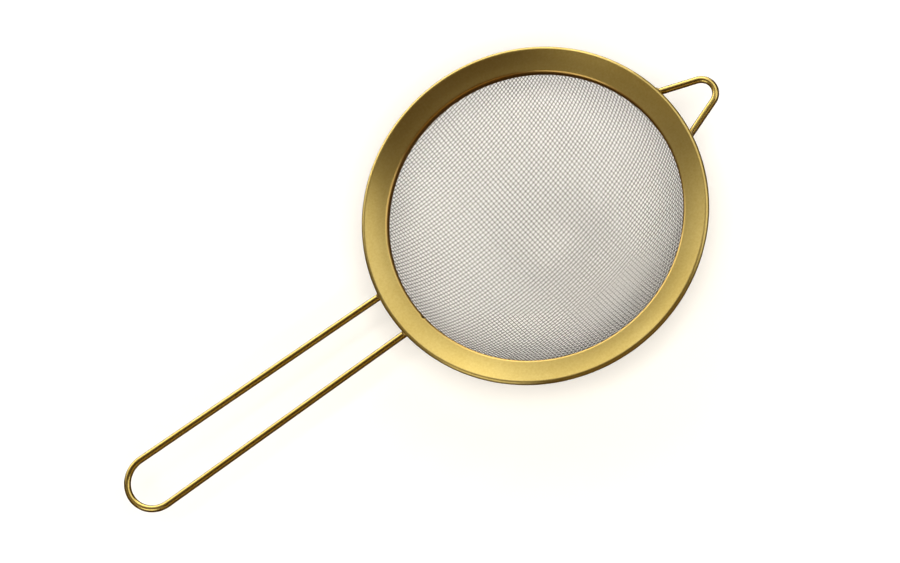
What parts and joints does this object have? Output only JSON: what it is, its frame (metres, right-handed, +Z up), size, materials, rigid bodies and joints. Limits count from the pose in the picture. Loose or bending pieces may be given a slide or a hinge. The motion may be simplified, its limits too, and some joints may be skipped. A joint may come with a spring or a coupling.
{
  "type": "fine mesh strainer",
  "caption": "Round fine-mesh strainer: wide rolled sheet rim, woven wire bowl, long U-shaped wire handle and a short V-shaped rest hook opposite.",
  "frame": {"origin": "centre of the mouth, level with the top of the rolled rim edge", "axes": "+Z up out of the open mouth, +X from the handle towards the rest hook, +Y to the left when the strainer is held by the handle and pointed away"},
  "size_m": [0.2864, 0.14, 0.0447],
  "materials": {
    "gold_sheet": "satin gold-coloured coating on stainless steel sheet",
    "gold_wire": "satin gold-coloured coating on drawn steel wire",
    "weld_metal": "gold-coloured coating over a small resistance weld",
    "steel_cloth": "bare plain-woven stainless steel wire cloth"
  },
  "bodies": {
    "root": {"rim_band": "gold_sheet", "clamp_ring": "gold_sheet", "mesh_bowl": "steel_cloth", "handle_loop": "gold_wire", "hook_loop": "gold_wire", "handle_welds": "weld_metal", "hook_welds": "weld_metal"}
  },
  "joints": []
}
